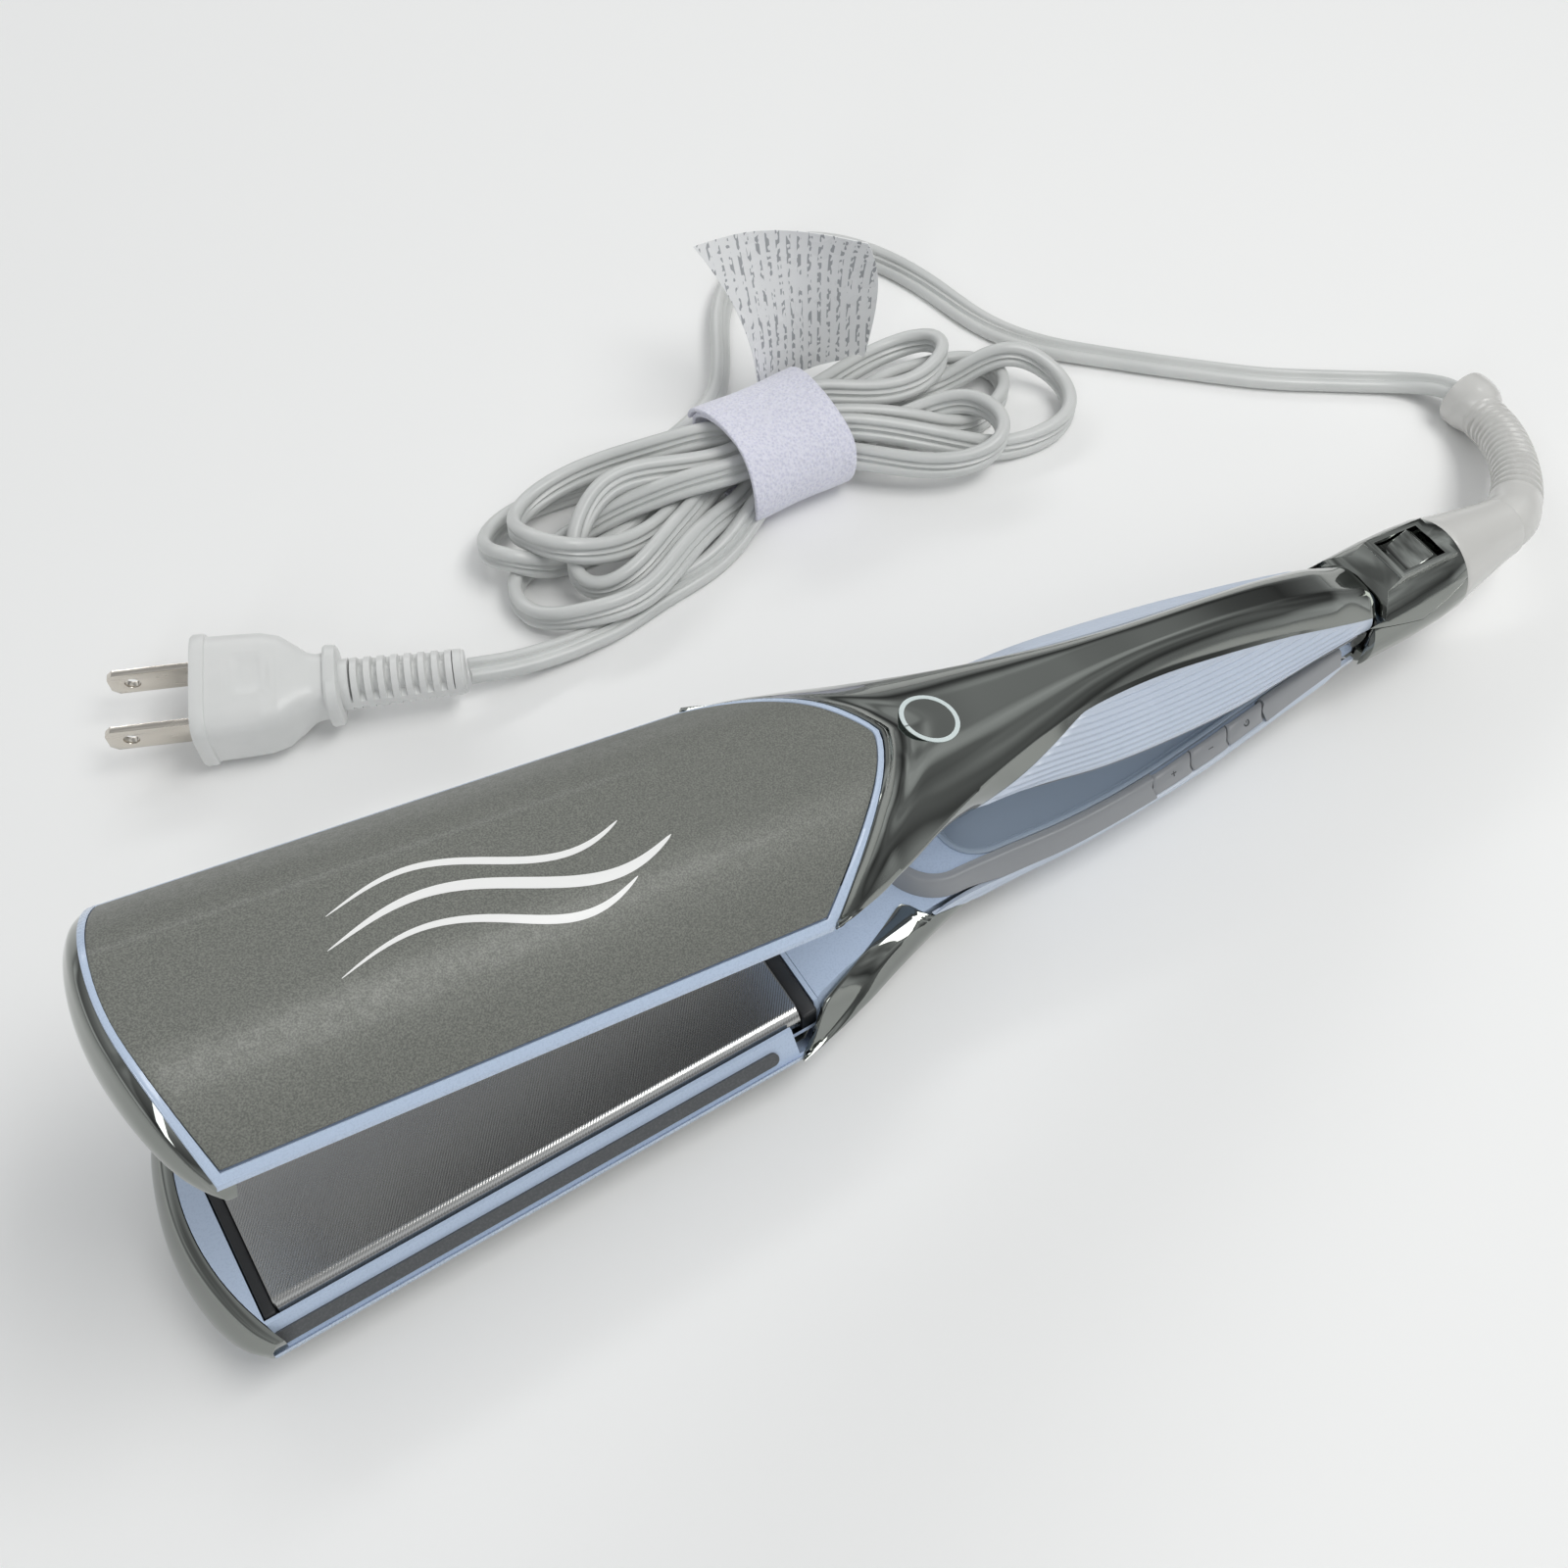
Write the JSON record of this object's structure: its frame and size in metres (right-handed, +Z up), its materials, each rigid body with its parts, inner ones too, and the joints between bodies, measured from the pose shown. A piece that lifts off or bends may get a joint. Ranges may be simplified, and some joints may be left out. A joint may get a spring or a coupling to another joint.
{
  "type": "flat iron",
  "caption": "Hair straightener with two hinged arms, floating heated plates, ribbed grips, control buttons, swivel neck and a bundled flat cord with its mains plug.",
  "frame": {"origin": "on the table under the middle of the iron, with the lower arm's crown resting on it", "axes": "+X towards the nose, +Y towards the side with the buttons, +Z up; the hinge axis lies along Y"},
  "size_m": [0.3273, 0.1944, 0.0846],
  "materials": {
    "panel": "metallic warm grey lacquer, satin",
    "frame_blue": "pale blue, satin gloss",
    "chrome_cover": "dark smoky vacuum-plated chrome on plastic, high gloss",
    "grip_white": "ribbed soft-touch off-white",
    "trim_grey": "cool mid grey, satin",
    "floor_blue": "grey blue, satin",
    "strip_dark": "dark grey inlay",
    "plate": "ceramic-coated aluminium, satin",
    "block_black": "black heat-resistant plastic",
    "ceramic": null,
    "brass": "plain",
    "silicone": "silicone",
    "steel": "plain",
    "board": "glass-fibre circuit board",
    "ring_pale": "pale ring line",
    "neck_white": "off-white, satin gloss",
    "cord_white": "off-white soft vinyl",
    "strap": "hook-and-loop tape, lavender white",
    "tag_film": "translucent milky film",
    "blade": "nickel-plated brass"
  },
  "bodies": {
    "root": {"lower_panel": "panel", "lower_head_frame": "frame_blue", "lower_handle_frame": "frame_blue", "lower_nose_cap": "chrome_cover", "lower_cover": "chrome_cover", "lower_grips": "grip_white", "lower_trim_band": "trim_grey", "lower_inner_floor": "floor_blue", "lower_side_strips": "strip_dark", "lower_cushions": "silicone", "lower_screws": "steel", "circuit_board": "board", "button_switches": "block_black", "hinge_bracket": "steel", "hinge_pin": "steel", "hinge_spring": "steel", "hinge_cap": "chrome_cover", "hinge_cap_base": "chrome_cover", "cord_boot": "cord_white", "cord_lead": "cord_white", "cord_bundle": "cord_white", "cord_tail": "cord_white", "bundle_strap": "strap", "strap_tag": "tag_film", "plug_relief": "cord_white", "plug_body": "cord_white", "plug_blades": "blade"},
    "upper_arm": {"upper_panel": "panel", "upper_head_frame": "frame_blue", "upper_handle_frame": "frame_blue", "upper_nose_cap": "chrome_cover", "upper_cover": "chrome_cover", "cover_ring": "ring_pale", "upper_grips": "grip_white", "upper_trim_band": "trim_grey", "upper_inner_floor": "floor_blue", "upper_side_strips": "strip_dark", "upper_cushions": "silicone", "upper_screws": "steel", "hinge_knuckle": "steel"},
    "lower_plate_group": {"lower_plate": "plate", "lower_plate_ends": "block_black", "lower_heater": "ceramic", "lower_heat_sensor": "brass"},
    "upper_plate_group": {"upper_plate": "plate", "upper_plate_ends": "block_black", "upper_heater": "ceramic", "upper_heat_sensor": "brass"},
    "lock_slider": {"lock_slider": "chrome_cover"},
    "power_button": {"power_button": "trim_grey"},
    "minus_button": {"minus_button": "trim_grey"},
    "plus_button": {"plus_button": "trim_grey"},
    "swivel": {"swivel_neck": "neck_white"}
  },
  "joints": [
    {"name": "arm_hinge", "type": "hinge", "parent": "root", "child": "upper_arm", "pos_m": [-0.0985, 0, 0.017], "axis": [0, 1, 0], "range_deg": [0, 12.2], "stiffness_Nm_per_rad": 0.5, "springref_deg": -28.65},
    {"name": "lower_plate_float", "type": "slide", "parent": "root", "child": "lower_plate_group", "axis": [0, 0, -1], "range_m": [0, 0.0008], "stiffness_N_per_m": 4000, "springref_m": -0.0004},
    {"name": "upper_plate_float", "type": "slide", "parent": "upper_arm", "child": "upper_plate_group", "axis": [-0.2113, 0, 0.9774], "range_m": [0, 0.0008], "stiffness_N_per_m": 4000, "springref_m": -0.0004},
    {"name": "lock_slide", "type": "slide", "parent": "root", "child": "lock_slider", "axis": [-1, 0, 0], "range_m": [0, 0.003]},
    {"name": "power_press", "type": "slide", "parent": "root", "child": "power_button", "axis": [0, -0.7682, -0.6402], "range_m": [0, 0.0004], "stiffness_N_per_m": 800, "springref_m": -0.0003},
    {"name": "minus_press", "type": "slide", "parent": "root", "child": "minus_button", "axis": [0, -0.7682, -0.6402], "range_m": [0, 0.0004], "stiffness_N_per_m": 800, "springref_m": -0.0003},
    {"name": "plus_press", "type": "slide", "parent": "root", "child": "plus_button", "axis": [0, -0.7682, -0.6402], "range_m": [0, 0.0004], "stiffness_N_per_m": 800, "springref_m": -0.0003},
    {"name": "cord_swivel", "type": "hinge", "parent": "root", "child": "swivel", "pos_m": [-0.1285, 0, 0.017], "axis": [1, 0, 0], "continuous": true}
  ]
}
